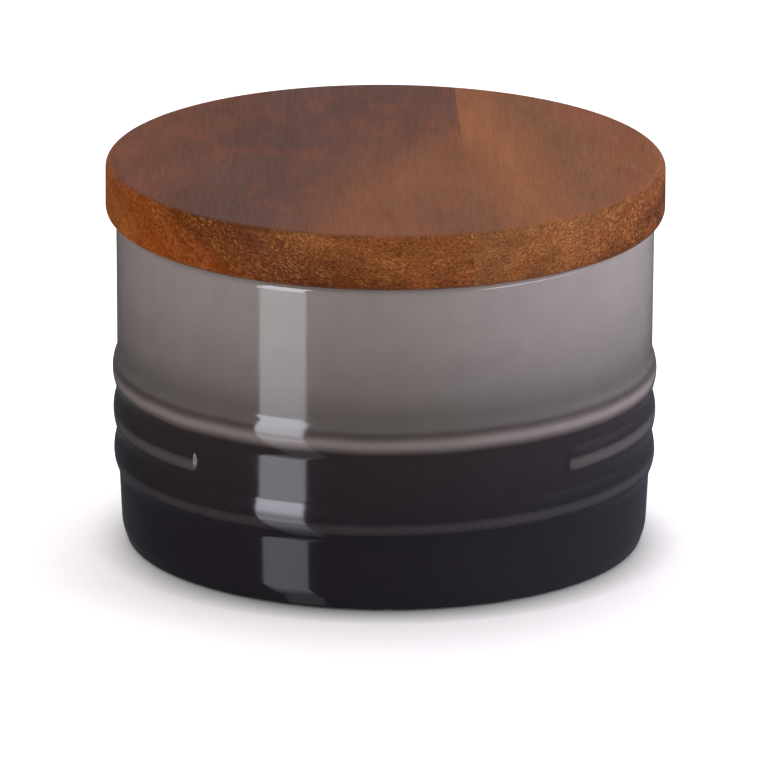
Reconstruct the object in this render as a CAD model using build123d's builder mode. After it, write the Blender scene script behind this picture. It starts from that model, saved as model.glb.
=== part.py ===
"""A small stoneware storage jar with a turned wooden lid and a finned silicone seal.

The jar stands on the XY plane with its axis on Z. Its front, where the middle rib
breaks off, faces -Y. All sizes are in millimetres.
"""

import os
from math import cos, radians, sin

from build123d import *

# Jar: outside of the wall, each step measured inwards from the rim
jar_height = 62.7
rim_radius = 50.5
rim_shoulder = 1.5
upper_wall_inset = 0.17
lower_wall_inset = 0.59
foot_wall_inset = 1.1
foot_contact_inset = 2.1
foot_bevel_height = 3.0
foot_edge = 0.6

# Jar: throwing ribs round the wall, the middle one broken off at the front
rib_pitch = 8.0
top_rib_height = 33.0
valley_inset = 0.13
rib_proud = 0.82
rib_fade = 0.13
rib_embed = 1.2
rib_gap_left = 43.0
rib_gap_right = 46.6

# Jar: inside and underside
wall_thickness = 4.9
mouth_spare = 3.6
mouth_ease = 0.8
inner_draft = 0.9
floor_thickness = 5.0
floor_corner = 8.0
foot_ring_width = 5.2
foot_recess = 1.5
foot_recess_land = 0.1

# Lid: a glued panel, turned to a disc with a plug under it
lid_overhang = 2.0
lid_thickness = 10.7
lid_top_ease = 1.5
lid_under_ease = 2.0
glue_joint_offset = 14.7
glue_joint_turn = 1.9
plug_clearance = 1.5
plug_lip = 1.9
plug_edge = 0.8

# Seal: a band with fins, held in a groove round the plug
groove_drop = 1.9
groove_height = 5.6
groove_depth = 1.7
seal_seat_gap = 0.05
seal_mouth_gap = 0.06
seal_band_recess = 0.35
fin_count = 3
fin_root = 0.9
fin_tip = 0.5
fin_rise = 0.45

# Radii and heights that follow from the sizes above
upper_wall_radius = rim_radius - upper_wall_inset
valley_radius = rim_radius - valley_inset
lower_wall_radius = rim_radius - lower_wall_inset
foot_wall_radius = rim_radius - foot_wall_inset
foot_contact_radius = rim_radius - foot_contact_inset
recess_radius = foot_contact_radius - foot_ring_width
foot_recess_corner = foot_recess - foot_edge - foot_recess_land
rib_heights = [top_rib_height - rib_pitch * step for step in range(3)]
rib_crest_radii = [valley_radius + rib_proud - rib_fade * step for step in range(3)]
rib_root_above = top_rib_height + rib_pitch / 2
valley_above = rib_heights[1] + rib_pitch / 2
valley_below = rib_heights[1] - rib_pitch / 2
rib_root_below = rib_heights[2] - rib_pitch / 2
lid_radius = rim_radius + lid_overhang
lid_underside = jar_height
lid_top = lid_underside + lid_thickness
plug_depth = groove_drop + groove_height + plug_lip
plug_bottom = lid_underside - plug_depth
groove_top = lid_underside - groove_drop
groove_bottom = groove_top - groove_height
mouth_radius = rim_radius - wall_thickness
mouth_depth = plug_depth + mouth_spare
plug_radius = mouth_radius - plug_clearance
groove_radius = plug_radius - groove_depth
inner_low_radius = mouth_radius - inner_draft
inside_floor_height = foot_recess + floor_thickness


def ease(start, end):
    """Draw two equal arcs from start to end, upright at both, as wet clay swells and dips."""
    middle = ((start[0] + end[0]) / 2, (start[1] + end[1]) / 2)
    first = TangentArc(start, middle, tangent=(0, 1))
    TangentArc(middle, end, tangent=first % 1)


def corner(sketch, across, height):
    """Return the vertex of a half section that lies nearest this radius and height."""
    return sketch.vertices().sort_by_distance((across, height))[0]


def radial_plane(angle):
    """Return the upright plane through Z whose local X points outwards at this angle."""
    return Plane(
        origin=(0, 0, 0),
        x_dir=(cos(radians(angle)), sin(radians(angle)), 0),
        z_dir=(sin(radians(angle)), -cos(radians(angle)), 0),
    )


# The rib's right and left ends, as angles from +X. The front of the jar is at -90 degrees
front_angle = -90.0
rib_start = front_angle + rib_gap_right
rib_end = front_angle - rib_gap_left + 360.0
rib_foot_radius = valley_radius - rib_embed

with BuildPart() as stoneware_jar:
    # Half section of the whole vessel: foot, wall with two unbroken ribs, rim, inside, underside
    with BuildSketch(Plane.XZ) as vessel:
        with BuildLine():
            Polyline(
                (0, foot_recess),
                (recess_radius, foot_recess),
                (recess_radius, 0),
                (foot_contact_radius, 0),
                (foot_wall_radius, foot_bevel_height),
                (lower_wall_radius, rib_root_below),
            )
            ease((lower_wall_radius, rib_root_below), (rib_crest_radii[2], rib_heights[2]))
            ease((rib_crest_radii[2], rib_heights[2]), (valley_radius, valley_below))
            Line((valley_radius, valley_below), (valley_radius, valley_above))
            ease((valley_radius, valley_above), (rib_crest_radii[0], rib_heights[0]))
            ease((rib_crest_radii[0], rib_heights[0]), (upper_wall_radius, rib_root_above))
            Polyline(
                (upper_wall_radius, rib_root_above),
                (rim_radius, jar_height),
                (mouth_radius, jar_height),
                (mouth_radius, jar_height - mouth_depth),
                (inner_low_radius, inside_floor_height),
                (0, inside_floor_height),
                (0, foot_recess),
            )
        make_face()
        fillet(corner(vessel, rim_radius, jar_height), rim_shoulder)
        fillet(corner(vessel, mouth_radius, jar_height), mouth_ease)
        fillet(corner(vessel, inner_low_radius, inside_floor_height), floor_corner)
        fillet(corner(vessel, recess_radius, foot_recess), foot_recess_corner)
        fillet(corner(vessel, recess_radius, 0), foot_edge)
        fillet(corner(vessel, foot_contact_radius, 0), foot_edge)
    revolve(axis=Axis.Z)
    # Middle rib: all the way round except across the front
    with BuildSketch(radial_plane(rib_start)) as rib_section:
        with BuildLine():
            ease((valley_radius, valley_below), (rib_crest_radii[1], rib_heights[1]))
            ease((rib_crest_radii[1], rib_heights[1]), (valley_radius, valley_above))
            Polyline(
                (valley_radius, valley_above),
                (rib_foot_radius, valley_above),
                (rib_foot_radius, valley_below),
                (valley_radius, valley_below),
            )
        make_face()
    revolve(axis=Axis.Z, revolution_arc=rib_end - rib_start)
    # Rounded tips where the middle rib dies away on either side of the front
    for tip_angle, side in ((rib_start, -1), (rib_end, 1)):
        tip_plane = radial_plane(tip_angle)
        with BuildSketch(tip_plane) as tip_section:
            with BuildLine():
                ease((valley_radius, valley_below), (rib_crest_radii[1], rib_heights[1]))
                Polyline(
                    (rib_crest_radii[1], rib_heights[1]),
                    (rib_foot_radius, rib_heights[1]),
                    (rib_foot_radius, valley_below),
                    (valley_radius, valley_below),
                )
            make_face()
        tip_centre = tip_plane.from_local_coords((0, rib_heights[1]))
        revolve(axis=Axis(tip_centre, tip_plane.x_dir * side), revolution_arc=180)
stoneware_jar.part.label = "stoneware_jar"

# The lid as it comes off the lathe, before it is told apart into its two boards
with BuildPart() as turned_lid:
    with BuildSketch(Plane.XZ) as disc_and_plug:
        with BuildLine():
            Polyline(
                (0, plug_bottom),
                (plug_radius, plug_bottom),
                (plug_radius, groove_bottom),
                (groove_radius, groove_bottom),
                (groove_radius, groove_top),
                (plug_radius, groove_top),
                (plug_radius, lid_underside),
                (lid_radius, lid_underside),
                (lid_radius, lid_top),
                (0, lid_top),
                close=True,
            )
        make_face()
        outer_corners = disc_and_plug.vertices().sort_by(Axis.X)[-2:]
        fillet(outer_corners.sort_by(Axis.Y)[-1], lid_top_ease)
        outer_corners = disc_and_plug.vertices().sort_by(Axis.X)[-2:]
        fillet(outer_corners.sort_by(Axis.Y)[0], lid_under_ease)
        plug_corners = disc_and_plug.vertices().group_by(Axis.Y)[0]
        chamfer(plug_corners.sort_by(Axis.X)[-1], plug_edge)
    revolve(axis=Axis.Z)

joint_normal = (cos(radians(glue_joint_turn)), sin(radians(glue_joint_turn)), 0)
joint_plane = Plane(origin=(glue_joint_offset, 0, 0), z_dir=joint_normal)

with BuildPart() as lid_board_wide:
    add(turned_lid.part)
    split(bisect_by=joint_plane, keep=Keep.BOTTOM)
lid_board_wide.part.label = "lid_board_wide"

with BuildPart() as lid_board_narrow:
    add(turned_lid.part)
    split(bisect_by=joint_plane, keep=Keep.TOP)
lid_board_narrow.part.label = "lid_board_narrow"

# Silicone seal: a flat band in the groove, with fins that lean up against the mouth
seal_inner_radius = groove_radius + seal_seat_gap
seal_band_radius = plug_radius - seal_band_recess
seal_lip_radius = mouth_radius - seal_mouth_gap
seal_bottom = groove_bottom + seal_seat_gap
seal_top = groove_top - seal_seat_gap
fin_pitch = (seal_top - seal_bottom) / fin_count

with BuildPart() as silicone_seal:
    with BuildSketch(Plane.XZ) as band_section:
        with BuildLine():
            Polyline(
                (seal_inner_radius, seal_bottom),
                (seal_band_radius, seal_bottom),
                (seal_band_radius, seal_top),
                (seal_inner_radius, seal_top),
                close=True,
            )
        make_face()
    revolve(axis=Axis.Z)
    for step in range(fin_count):
        fin_height = seal_bottom + fin_pitch * (step + 0.5)
        with BuildSketch(Plane.XZ) as fin_section:
            with BuildLine():
                Polyline(
                    (seal_inner_radius, fin_height - fin_root / 2),
                    (seal_band_radius, fin_height - fin_root / 2),
                    (seal_lip_radius, fin_height + fin_rise - fin_tip / 2),
                    (seal_lip_radius, fin_height + fin_rise + fin_tip / 2),
                    (seal_band_radius, fin_height + fin_root / 2),
                    (seal_inner_radius, fin_height + fin_root / 2),
                    close=True,
                )
            make_face()
        revolve(axis=Axis.Z)
silicone_seal.part.label = "silicone_seal"

os.makedirs("parts", exist_ok=True)
export_step(stoneware_jar.part, "parts/stoneware_jar.step")
export_step(lid_board_wide.part, "parts/lid_board_wide.step")
export_step(lid_board_narrow.part, "parts/lid_board_narrow.step")
export_step(silicone_seal.part, "parts/silicone_seal.step")
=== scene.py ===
"""Storage jar: glazed stoneware, a lid turned from two glued acacia boards, a silicone seal.

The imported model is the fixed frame. Each of its nodes is stood for by a finer mesh of the
same sizes, drawn here as a half section and spun as on a lathe, with a procedural finish.
Sizes of the jar and its finishes are in millimetres, those of the studio and of the meshes
in metres. The jar's axis is Z and its front, where the middle rib breaks off, faces -Y.
"""

from __future__ import annotations

import logging
import math
import sys
from collections.abc import Callable, Sequence
from dataclasses import dataclass
from enum import Enum
from typing import Any

import bmesh
import bpy
from mathutils import Matrix, Vector


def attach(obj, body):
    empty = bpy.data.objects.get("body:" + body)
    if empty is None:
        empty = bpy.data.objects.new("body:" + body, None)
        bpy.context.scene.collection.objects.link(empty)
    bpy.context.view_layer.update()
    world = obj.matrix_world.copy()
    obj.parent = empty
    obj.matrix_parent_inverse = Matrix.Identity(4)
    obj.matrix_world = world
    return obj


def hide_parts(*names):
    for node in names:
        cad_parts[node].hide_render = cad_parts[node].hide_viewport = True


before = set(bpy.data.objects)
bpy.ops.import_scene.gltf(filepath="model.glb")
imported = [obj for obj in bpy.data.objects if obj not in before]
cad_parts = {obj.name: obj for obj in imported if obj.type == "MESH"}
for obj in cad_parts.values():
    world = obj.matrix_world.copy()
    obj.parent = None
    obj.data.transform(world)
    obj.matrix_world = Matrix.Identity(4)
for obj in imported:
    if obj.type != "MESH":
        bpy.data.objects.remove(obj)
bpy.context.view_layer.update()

LOG = logging.getLogger("storage_jar")

# Radius and height of a point of a half section, in millimetres
Point = tuple[float, float]
# Three lengths in millimetres
Size = tuple[float, float, float]
# A distance, in millimetres, and the colour there
Band = tuple[float, str]
# Where a value starts and where it ends
Span = tuple[float, float]
# Blender's own types, under short names
Tree = bpy.types.NodeTree
Node = bpy.types.Node
Socket = bpy.types.NodeSocket
Material = bpy.types.Material
Piece = bpy.types.Object

MM_PER_METRE = 1000.0
# Nearly all of a noise lies between these two
NOISE_LOW = 0.3
NOISE_HIGH = 0.7
# Points of a mesh nearer to each other than this are one, in millimetres
MERGE_REACH = 0.001


def metres(millimetres: float) -> float:
    """Return a length in metres."""
    return millimetres / MM_PER_METRE


def per_metre(millimetres: float) -> float:
    """Return the noise scale whose features are about this many millimetres across."""
    return MM_PER_METRE / millimetres


def linear(hex_colour: str) -> tuple[float, ...]:
    """Turn an sRGB hex colour into a linear one with full alpha.

    Args:
        hex_colour: Six hex digits after a hash.

    Returns:
        Red, green, blue and alpha for a shader socket.
    """
    shares = [int(hex_colour[place : place + 2], 16) / 255.0 for place in (1, 3, 5)]
    red, green, blue = (
        share / 12.92 if share <= 0.04045 else ((share + 0.055) / 1.055) ** 2.4 for share in shares
    )
    return (red, green, blue, 1.0)


def add_node(
    tree: Tree,
    kind: str,
    inputs: dict[int | str, Any] | None = None,
    stops: Sequence[tuple[float, str | float]] = (),
    **settings: Any,
) -> Node:
    """Add a node with its settings, its values and its links.

    Args:
        tree: The node tree that gets the node.
        kind: The node's type, without its ShaderNode prefix.
        inputs: A value, or another node's output, for each input by name or number.
        stops: Places of a colour ramp, each with a hex colour or a plain grey level.
        settings: The node's own properties.

    Returns:
        The new node.
    """
    made = tree.nodes.new("ShaderNode" + kind)
    for name, value in settings.items():
        setattr(made, name, value)
    for place, (position, colour) in enumerate(stops):
        elements = made.color_ramp.elements
        element = elements[place] if place < 2 else elements.new(position)
        element.position = position
        element.color = linear(colour) if isinstance(colour, str) else (colour, colour, colour, 1.0)
    for socket, value in (inputs or {}).items():
        if isinstance(value, Socket):
            tree.links.new(value, made.inputs[socket])
        else:
            made.inputs[socket].default_value = value
    return made


def begin_material(name: str) -> tuple[Material, Node]:
    """Start a node material that holds one principled shader.

    Args:
        name: The finish's name.

    Returns:
        The material and its principled shader.
    """
    material = bpy.data.materials.new(name)
    material.use_nodes = True
    tree = material.node_tree
    tree.nodes.clear()
    shader = add_node(tree, "BsdfPrincipled")
    add_node(tree, "OutputMaterial", {"Surface": shader.outputs["BSDF"]})
    return material, shader


@dataclass(frozen=True)
class OmbreGlaze:
    """Slip-cast stoneware under a glossy glaze, sprayed warm grey over near black.

    To the eye it is a deep, wet gloss. The colour darkens down the wall, drops to near
    black under the top rib, has a dark line just above the top rib and breaks lighter
    where it runs thin over the crests. The ring that the jar stands on is wiped bare.
    """

    name: str = "stoneware_ombre_gloss_glaze"
    wall_height: float = 62.7
    rim_grey: str = "#877f7b"
    upper_grey: str = "#7f7773"
    middle_grey: str = "#6d6663"
    lower_grey: str = "#595350"
    dark_line_grey: str = "#433c3b"
    crest_grey: str = "#776d6a"
    under_crest: str = "#544b49"
    dark_band: str = "#282325"
    near_black: str = "#1f1b20"
    thin_on_middle_rib: str = "#4a4444"
    thin_on_low_rib: str = "#363235"
    inside_grey: str = "#877d7a"
    bare_clay: str = "#b9ab9b"
    refraction: float = 1.5
    gloss_roughness: float = 0.075
    gloss_dip: float = 0.02
    gloss_dulling: float = 0.03
    clay_roughness: float = 0.85
    smear_size: float = 11.0
    # The sprayed bands drift up and down by hand, and slant with the way the jar was held
    drift_size: float = 16.0
    drift_depth: float = 0.16
    band_slant: float = 0.006
    mottle_size: float = 5.0
    mottle_change: float = 0.05
    mottle_span: Span = (0.25, 0.75)
    # Pigment grains in a glaze are under 0.1 mm, too fine to show. They are drawn at 0.55 mm
    grain_size: float = 0.55
    grain_change: float = 0.02
    # How much the grain adds to a crest, and from where on the glaze breaks lighter over it
    thin_grain: float = 0.16
    thin_from_middle: float = 0.82
    thin_from_low: float = 0.88
    thin_full: float = 1.1
    ripple_size: float = 9.0
    ripple_depth: float = 0.006
    # Inwards of these radii, and above this height, the glaze is the plain inside one
    inside_from: float = 46.6
    inside_full: float = 45.9
    inside_above: float = 3.0
    foot_line: float = 0.12
    foot_line_wobble: float = 0.08
    foot_line_size: float = 2.5
    foot_ring_inner: float = 42.0
    # Fine grog in the clay is about 0.1 mm, too fine to show. It is drawn at 0.35 mm
    grit_size: float = 0.35
    grit_depth: float = 0.03

    def build(self) -> Material:
        """Build the glaze.

        Returns:
            The finished material.
        """
        material, shader = begin_material(self.name)
        tree = material.node_tree
        place = add_node(tree, "TexCoord").outputs["Object"]
        scaled = add_node(
            tree, "VectorMath", {0: place, 1: (MM_PER_METRE,) * 3}, operation="MULTIPLY"
        )
        split = add_node(tree, "SeparateXYZ", {0: scaled.outputs[0]})
        flat = add_node(
            tree, "VectorMath", {0: scaled.outputs[0], 1: (1.0, 1.0, 0.0)}, operation="MULTIPLY"
        )
        radius = add_node(
            tree, "VectorMath", {0: flat.outputs[0]}, operation="LENGTH"
        ).outputs["Value"]
        height = self._drifted_height(tree, place, split)
        tone = self._tone_by_height(tree, height)
        tone = self._thin_crests(tree, place, tone)
        tone = self._inside_tone(tree, radius, split.outputs["Z"], tone)
        tone = self._mottle(tree, place, tone)
        bare = self._bare_foot(tree, place, split.outputs["Z"], radius)
        colour = add_node(
            tree, "Mix", {0: bare, 6: tone, 7: linear(self.bare_clay)}, data_type="RGBA"
        ).outputs[2]
        tree.links.new(colour, shader.inputs["Base Color"])
        self._surface(tree, place, bare, shader)
        return material

    def _drifted_height(self, tree: Tree, place: Socket, split: Node) -> Socket:
        """Let the sprayed bands drift up and down round the wall, and slant a little.

        Args:
            tree: The material's node tree.
            place: The point on the piece, in metres.
            split: The point's X, Y and Z, in millimetres.

        Returns:
            The height at which to read the bands.
        """
        noise = add_node(
            tree, "TexNoise", {"Vector": place, "Scale": per_metre(self.drift_size), "Detail": 2.0}
        )
        drift = add_node(
            tree,
            "MapRange",
            {
                0: noise.outputs["Fac"],
                1: NOISE_LOW,
                2: NOISE_HIGH,
                3: -self.drift_depth,
                4: self.drift_depth,
            },
        ).outputs[0]
        level = add_node(
            tree, "Math", {0: drift, 1: split.outputs["Z"]}, operation="ADD"
        ).outputs[0]
        return add_node(
            tree,
            "Math",
            {0: split.outputs["X"], 1: -self.band_slant, 2: level},
            operation="MULTIPLY_ADD",
        ).outputs[0]

    def _tone_by_height(self, tree: Tree, height: Socket) -> Socket:
        """Lay the glaze's bands on the wall, from the foot to the rim.

        Args:
            tree: The material's node tree.
            height: The point's height, in millimetres.

        Returns:
            The glaze's colour.
        """
        share = add_node(
            tree, "MapRange", {0: height, 1: 0.0, 2: self.wall_height, 3: 0.0, 4: 1.0}
        ).outputs[0]
        # Each band's height on the wall, and the glaze's colour there
        bands: tuple[Band, ...] = (
            (15.0, self.near_black),
            (29.6, self.dark_band),
            (30.8, self.dark_band),
            (31.6, self.under_crest),
            (32.5, self.crest_grey),
            (33.1, self.crest_grey),
            (34.0, self.under_crest),
            # A dark line just above the top rib's crest
            (34.6, self.dark_line_grey),
            (35.5, self.lower_grey),
            (38.0, self.lower_grey),
            (43.0, self.middle_grey),
            (53.0, self.upper_grey),
            (62.0, self.rim_grey),
        )
        stops = [(band_height / self.wall_height, colour) for band_height, colour in bands]
        return add_node(tree, "ValToRGB", {0: share}, stops=stops).outputs["Color"]

    def _thin_crests(self, tree: Tree, place: Socket, tone: Socket) -> Socket:
        """Break the glaze lighter, in fine grains, on the crests of the two dark ribs.

        Args:
            tree: The material's node tree.
            place: The point on the piece, in metres.
            tone: The colour so far.

        Returns:
            The colour with its light crests.
        """
        grain = add_node(
            tree, "TexNoise", {"Vector": place, "Scale": per_metre(self.grain_size), "Detail": 3.0}
        ).outputs["Fac"]
        for name, colour, start in (
            ("middle_rib", self.thin_on_middle_rib, self.thin_from_middle),
            ("low_rib", self.thin_on_low_rib, self.thin_from_low),
        ):
            crest = add_node(tree, "Attribute", attribute_name=name).outputs["Fac"]
            grained = add_node(
                tree, "Math", {0: grain, 1: self.thin_grain, 2: crest}, operation="MULTIPLY_ADD"
            )
            thin = add_node(
                tree,
                "MapRange",
                {0: grained.outputs[0], 1: start, 2: self.thin_full, 3: 0.0, 4: 1.0},
                interpolation_type="SMOOTHSTEP",
            ).outputs[0]
            tone = add_node(
                tree, "Mix", {0: thin, 6: tone, 7: linear(colour)}, data_type="RGBA"
            ).outputs[2]
        return tone

    def _inside_tone(self, tree: Tree, radius: Socket, height: Socket, tone: Socket) -> Socket:
        """Keep the inside one plain grey, from the mouth down to the floor.

        Args:
            tree: The material's node tree.
            radius: The point's distance from the axis, in millimetres.
            height: The point's height, in millimetres.
            tone: The colour so far.

        Returns:
            The colour, plain on the inside.
        """
        inward = add_node(
            tree, "MapRange", {0: radius, 1: self.inside_from, 2: self.inside_full, 3: 0.0, 4: 1.0}
        ).outputs[0]
        above = add_node(
            tree, "Math", {0: height, 1: self.inside_above}, operation="GREATER_THAN"
        ).outputs[0]
        inside = add_node(tree, "Math", {0: inward, 1: above}, operation="MULTIPLY").outputs[0]
        return add_node(
            tree, "Mix", {0: inside, 6: tone, 7: linear(self.inside_grey)}, data_type="RGBA"
        ).outputs[2]

    def _mottle(self, tree: Tree, place: Socket, tone: Socket) -> Socket:
        """Vary the glaze's lightness in soft clouds and fine grains.

        Args:
            tree: The material's node tree.
            place: The point on the piece, in metres.
            tone: The colour so far.

        Returns:
            The mottled colour.
        """
        lights = []
        low, high = self.mottle_span
        for size, detail, change in (
            (self.mottle_size, 3.0, self.mottle_change),
            (self.grain_size, 2.0, self.grain_change),
        ):
            noise = add_node(
                tree, "TexNoise", {"Vector": place, "Scale": per_metre(size), "Detail": detail}
            ).outputs["Fac"]
            lights += add_node(
                tree, "MapRange", {0: noise, 1: low, 2: high, 3: 1.0 - change, 4: 1.0 + change}
            ).outputs[:1]
        light = add_node(
            tree, "Math", {0: lights[0], 1: lights[1]}, operation="MULTIPLY"
        ).outputs[0]
        return add_node(tree, "VectorMath", {0: tone, "Scale": light}, operation="SCALE").outputs[0]

    def _bare_foot(self, tree: Tree, place: Socket, height: Socket, radius: Socket) -> Socket:
        """Return where the glaze is wiped off the ring that the jar stands on.

        Args:
            tree: The material's node tree.
            place: The point on the piece, in metres.
            height: The point's height, in millimetres.
            radius: The point's distance from the axis, in millimetres.

        Returns:
            One on the bare ring and zero elsewhere.
        """
        edge = add_node(
            tree,
            "TexNoise",
            {"Vector": place, "Scale": per_metre(self.foot_line_size), "Detail": 3.0},
        )
        line = add_node(
            tree,
            "MapRange",
            {
                0: edge.outputs["Fac"],
                1: NOISE_LOW,
                2: NOISE_HIGH,
                3: self.foot_line - self.foot_line_wobble,
                4: self.foot_line + self.foot_line_wobble,
            },
        ).outputs[0]
        below = add_node(tree, "Math", {0: height, 1: line}, operation="LESS_THAN").outputs[0]
        ring = add_node(
            tree, "Math", {0: radius, 1: self.foot_ring_inner}, operation="GREATER_THAN"
        ).outputs[0]
        return add_node(tree, "Math", {0: below, 1: ring}, operation="MULTIPLY").outputs[0]

    def _surface(self, tree: Tree, place: Socket, bare: Socket, shader: Node) -> None:
        """Give the glaze its wet gloss with faint ripples, and the bare ring a dry grain.

        Args:
            tree: The material's node tree.
            place: The point on the piece, in metres.
            bare: Where the glaze is wiped off, from 0 to 1.
            shader: The finish's principled shader.
        """
        smears = add_node(
            tree, "TexNoise", {"Vector": place, "Scale": per_metre(self.smear_size), "Detail": 4.0}
        )
        gloss = add_node(
            tree,
            "MapRange",
            {
                0: smears.outputs["Fac"],
                1: NOISE_LOW,
                2: NOISE_HIGH,
                3: self.gloss_roughness - self.gloss_dip,
                4: self.gloss_roughness + self.gloss_dulling,
            },
        ).outputs[0]
        roughness = add_node(
            tree, "Mix", {0: bare, 2: gloss, 3: self.clay_roughness}, data_type="FLOAT"
        ).outputs[0]
        tree.links.new(roughness, shader.inputs["Roughness"])
        shader.inputs["IOR"].default_value = self.refraction
        ripple = add_node(
            tree, "TexNoise", {"Vector": place, "Scale": per_metre(self.ripple_size), "Detail": 1.0}
        ).outputs["Fac"]
        grit = add_node(
            tree, "TexNoise", {"Vector": place, "Scale": per_metre(self.grit_size), "Detail": 3.0}
        ).outputs["Fac"]
        dry = add_node(tree, "Math", {0: grit, 1: bare}, operation="MULTIPLY").outputs[0]
        rippled = add_node(
            tree, "Bump", {"Height": ripple, "Distance": metres(self.ripple_depth), "Strength": 1.0}
        )
        gritty = add_node(
            tree,
            "Bump",
            {
                "Height": dry,
                "Distance": metres(self.grit_depth),
                "Strength": 1.0,
                "Normal": rippled.outputs[0],
            },
        )
        tree.links.new(gritty.outputs[0], shader.inputs["Normal"])


class Board(Enum):
    """The two boards that the lid is glued up from."""

    WIDE = "lid_board_wide"
    NARROW = "lid_board_narrow"


@dataclass(frozen=True)
class OiledAcacia:
    """Acacia, planed, turned and oiled, with its grain running from front to back.

    To the eye it is a deep red brown with a low sheen. Growth rings run as soft bands on
    the top and as slanting arcs on the rim, where the cut ends of the vessels show as rows
    of golden and dark specks. On the top the same vessels are short, fine, dark dashes.
    The pith of the log lies above the lid, and its place is what the rings are drawn round.
    """

    name: str
    # Place of the pith, and the wood's colour by its distance from there, on top and on the rim
    pith: Point
    # On top the colours hold a little painted sheen: a grey lift over the wood's own colour
    face_zones_with_sheen: tuple[Band, ...]
    end_zones: tuple[Band, ...]
    zone_tilt: float = 0.1
    wander_size: Size = (18.0, 60.0, 18.0)
    wander_reach: Size = (6.0, 0.0, 6.0)
    # A turn round the pith is counted as a length at about this distance from it
    arc_radius: float = 60.0
    # From the first radius to the second the top's figure gives way to the rim's
    rim_span: Span = (51.2, 52.1)
    # At the lid's sides the rim cuts the grain by this share, and squarely from this far on
    side_reach: float = 30.0
    side_share: float = 0.75
    # Across, along and reach of a swirl on the top, whose grain comes up to the surface
    patch: Size = (0.0, 0.0, 0.0)
    patch_height: float = 73.0
    patch_share: float = 0.6
    # The glue joint, and how far to each side its dark line reaches and how much it shows
    joint_offset: float = 14.7
    joint_turn: float = 1.9
    glue_reach: float = 0.08
    glue_amount: float = 0.12
    fleck_colour: str = "#b98046"
    pore_colour: str = "#1e0e08"
    blush_colour: str = "#8c4a26"
    blush_amount: float = 0.3
    blush_size: Size = (4.5, 9.0, 4.5)
    blush_span: Span = (0.5, 0.68)
    fleck_amount: float = 0.34
    pore_amount: float = 0.42
    dash_amount: float = 0.28
    # Acacia's vessels are 0.1 to 0.2 mm across, too fine to show. They are drawn at 0.2 to 0.5 mm
    dash_size: Size = (0.34, 5.0, 0.34)
    dash_span: Span = (0.42, 0.28)
    speck_size: Size = (0.2, 1.3, 0.5)
    crowd_size: Size = (2.2, 12.0, 6.0)
    crowd_span: Span = (0.35, 0.65)
    # Its fibres are about 0.02 mm, too fine to show. They are drawn in bundles of 0.5 mm
    fibre_size: Size = (0.5, 10.0, 0.5)
    fibre_change: float = 0.035
    streak_size: Size = (1.8, 26.0, 1.8)
    streak_change: float = 0.06
    cloud_size: Size = (7.0, 22.0, 7.0)
    cloud_change: float = 0.1
    refraction: float = 1.5
    sheen: float = 0.12
    roughness: float = 0.5
    roughness_change: float = 0.06
    grain_depth: float = 0.02
    grain_strength: float = 0.8

    def build(self) -> Material:
        """Build the wood.

        Returns:
            The finished material.
        """
        material, shader = begin_material(self.name)
        tree = material.node_tree
        place = add_node(tree, "TexCoord").outputs["Object"]
        scaled = add_node(
            tree, "VectorMath", {0: place, 1: (MM_PER_METRE,) * 3}, operation="MULTIPLY"
        ).outputs[0]
        rings = self._ring_place(tree, scaled)
        end_grain = self._end_grain(tree, scaled)
        fibres = self._noise(tree, rings, self.fibre_size)
        dashes = self._noise(tree, rings, self.dash_size)
        face = self._zone(tree, rings, self.face_zones_with_sheen)
        end = self._zone(tree, rings, self.end_zones)
        tone = add_node(tree, "Mix", {0: end_grain, 6: face, 7: end}, data_type="RGBA").outputs[2]
        for noise, change in (
            (fibres, self.fibre_change),
            (self._noise(tree, rings, self.streak_size), self.streak_change),
            (self._noise(tree, rings, self.cloud_size), self.cloud_change),
        ):
            tone = self._lighten(tree, tone, noise, change)
        tone = self._blush(tree, rings, tone)
        tone = self._dashes(tree, tone, dashes, end_grain)
        tone = self._specks(tree, scaled, rings, tone, end_grain)
        tone = self._glue(tree, scaled, tone)
        tree.links.new(tone, shader.inputs["Base Color"])
        self._surface(tree, fibres, dashes, shader)
        return material

    def _ring_place(self, tree: Tree, scaled: Socket) -> Socket:
        """Return each point's place in the log, in mm: out from the pith, along and round it.

        Args:
            tree: The material's node tree.
            scaled: The point on the piece, in millimetres.

        Returns:
            The place in the log.
        """
        shares = tuple(1.0 / length for length in self.wander_size)
        squeezed = add_node(tree, "VectorMath", {0: scaled, 1: shares}, operation="MULTIPLY")
        wander = add_node(
            tree, "TexNoise", {"Vector": squeezed.outputs[0], "Scale": 1.0, "Detail": 2.0}
        ).outputs["Color"]
        centred = add_node(
            tree, "VectorMath", {0: wander, 1: (0.5,) * 3}, operation="SUBTRACT"
        ).outputs[0]
        shift = add_node(
            tree, "VectorMath", {0: centred, 1: self.wander_reach}, operation="MULTIPLY"
        ).outputs[0]
        warped = add_node(tree, "VectorMath", {0: scaled, 1: shift}, operation="ADD").outputs[0]
        pith = (self.pith[0], 0.0, self.pith[1])
        away = add_node(tree, "VectorMath", {0: warped, 1: pith}, operation="SUBTRACT").outputs[0]
        across = add_node(
            tree, "VectorMath", {0: away, 1: (1.0, 0.0, -1.0)}, operation="MULTIPLY"
        ).outputs[0]
        out = add_node(tree, "VectorMath", {0: across}, operation="LENGTH").outputs["Value"]
        split = add_node(tree, "SeparateXYZ", {0: across})
        turn = add_node(
            tree, "Math", {0: split.outputs["X"], 1: split.outputs["Z"]}, operation="ARCTAN2"
        )
        round_it = add_node(
            tree, "Math", {0: turn.outputs[0], 1: self.arc_radius}, operation="MULTIPLY"
        ).outputs[0]
        along = add_node(tree, "SeparateXYZ", {0: scaled}).outputs["Y"]
        return add_node(tree, "CombineXYZ", {0: out, 1: along, 2: round_it}).outputs[0]

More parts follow.
